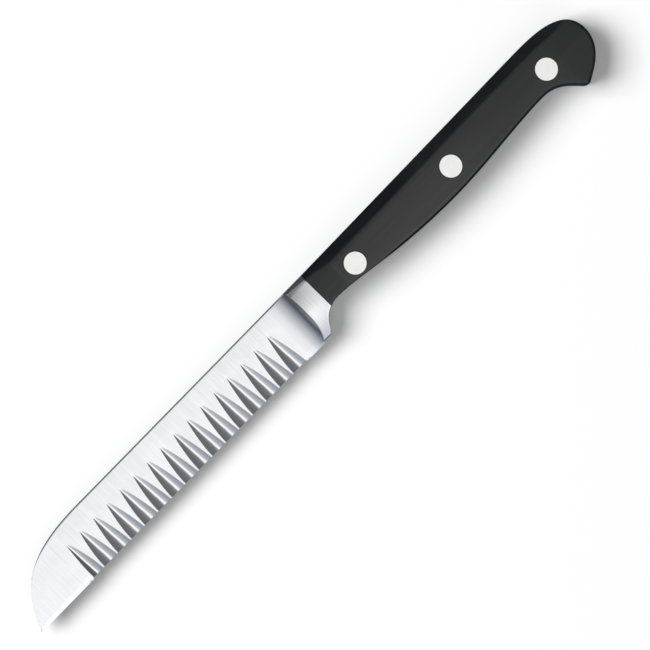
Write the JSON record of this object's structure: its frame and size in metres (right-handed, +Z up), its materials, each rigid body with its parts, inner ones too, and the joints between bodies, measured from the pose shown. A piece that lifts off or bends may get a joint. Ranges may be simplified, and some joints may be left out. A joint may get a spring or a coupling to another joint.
{
  "type": "decorating knife",
  "caption": "Decorating knife: fluted crinkle-cut blade with forged bolster and full tang between riveted black plastic scales.",
  "frame": {"origin": "on the surface that the knife lies on, under the middle of its bounding box", "axes": "+X from the tip to the butt, +Y towards the spine, +Z up, out of the side that the picture shows"},
  "size_m": [0.2198, 0.0202, 0.012],
  "materials": {
    "blade_steel": "satin ground, fine lines across the blade",
    "handle_plastic": "satin moulded black",
    "rivet_metal": "bright, ground flush with the scales"
  },
  "bodies": {
    "root": {"blade_forging": "blade_steel", "scale_upper": "handle_plastic", "scale_lower": "handle_plastic", "rivet_front_pin": "rivet_metal", "rivet_front_tube": "rivet_metal", "rivet_middle_pin": "rivet_metal", "rivet_middle_tube": "rivet_metal", "rivet_rear_pin": "rivet_metal", "rivet_rear_tube": "rivet_metal"}
  },
  "joints": []
}
